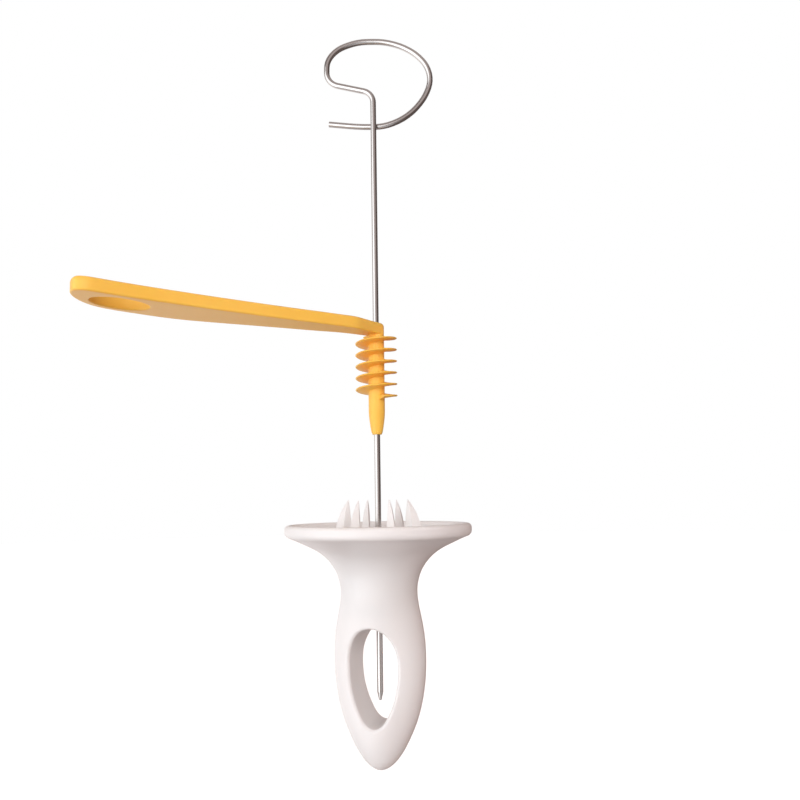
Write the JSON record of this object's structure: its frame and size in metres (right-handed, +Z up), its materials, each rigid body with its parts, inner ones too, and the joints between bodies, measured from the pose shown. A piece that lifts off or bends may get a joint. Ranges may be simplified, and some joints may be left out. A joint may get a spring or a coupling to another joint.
{
  "type": "hand cranked spiral potato cutter",
  "caption": "Hand-cranked spiral potato cutter: white dish handle with spikes and finger loop, steel wire skewer with a top loop, and a yellow screw cutter with a crank arm.",
  "frame": {"origin": "on the skewer's axis, level with the lip of the holder's dish", "axes": "+Z up along the skewer towards its loop; +X across the flat of the handle; +Y away from the viewer, through the handle's finger loop"},
  "size_m": [0.1204, 0.1489, 0.3236],
  "materials": {
    "white_plastic": "smooth moulded, soft sheen",
    "white_spikes": "smooth moulded, slightly translucent",
    "yellow_plastic": "smooth moulded, satin",
    "wire_steel": "drawn wire, bright",
    "blade_steel": "rolled strip with a ground edge"
  },
  "bodies": {
    "holder": {"holder_shell": "white_plastic", "spike_plate": "white_spikes"},
    "skewer": {"skewer": "wire_steel"},
    "bush": {"hub_bush": "blade_steel"},
    "cutter": {"cutter_body": "yellow_plastic", "cutter_blade": "blade_steel"}
  },
  "joints": [
    {"name": "skewer_slide", "type": "slide", "parent": "holder", "child": "skewer", "axis": [0, 0, 1], "range_m": [-0.009, 0.07]},
    {"name": "cutter_advance", "type": "slide", "parent": "holder", "child": "bush", "axis": [0, 0, 1], "range_m": [-0.0365, 0.078]},
    {"name": "cutter_spin", "type": "hinge", "parent": "bush", "child": "cutter", "pos_m": [0, 0, 0.07], "axis": [0, 0, 1], "continuous": true}
  ]
}
